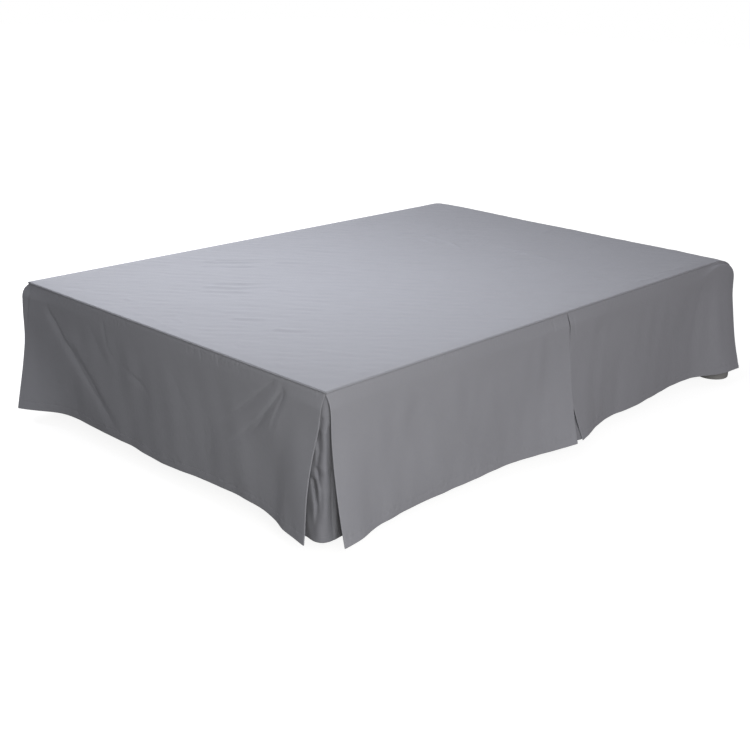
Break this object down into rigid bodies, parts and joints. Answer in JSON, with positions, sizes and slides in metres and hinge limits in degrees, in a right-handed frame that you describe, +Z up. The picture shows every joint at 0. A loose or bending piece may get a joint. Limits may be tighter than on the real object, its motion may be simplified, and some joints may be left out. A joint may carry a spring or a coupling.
{
  "type": "bed skirt on bed base",
  "caption": "Tailored bed skirt with a flat deck, straight drops on three sides, split corners and side splits with underlays, hanging over a plain box bed base on round feet.",
  "frame": {"origin": "on the floor under the middle of the bed", "axes": "+X from the foot end to the head end, +Y across the bed, +Z up"},
  "size_m": [2.2038, 1.558, 0.455],
  "materials": {
    "deck_cloth": "plain woven cotton blend, matte, cool grey",
    "drop_cloth": "plain woven cotton blend, matte, cool grey, same cloth as the deck",
    "base_cover": "plain woven ticking, off-white, matte",
    "foot_paint": "moulded grey, matte"
  },
  "bodies": {
    "root": {"bed_base": "base_cover", "bed_foot_foot_end_near": "foot_paint", "bed_foot_foot_end_far": "foot_paint", "bed_foot_head_end_near": "foot_paint", "bed_foot_head_end_far": "foot_paint", "deck": "deck_cloth", "foot_drop": "drop_cloth", "near_drop_front": "drop_cloth", "near_drop_rear": "drop_cloth", "far_drop_front": "drop_cloth", "far_drop_rear": "drop_cloth", "near_corner_underlay": "drop_cloth", "far_corner_underlay": "drop_cloth", "near_side_underlay": "drop_cloth", "far_side_underlay": "drop_cloth"}
  },
  "joints": []
}
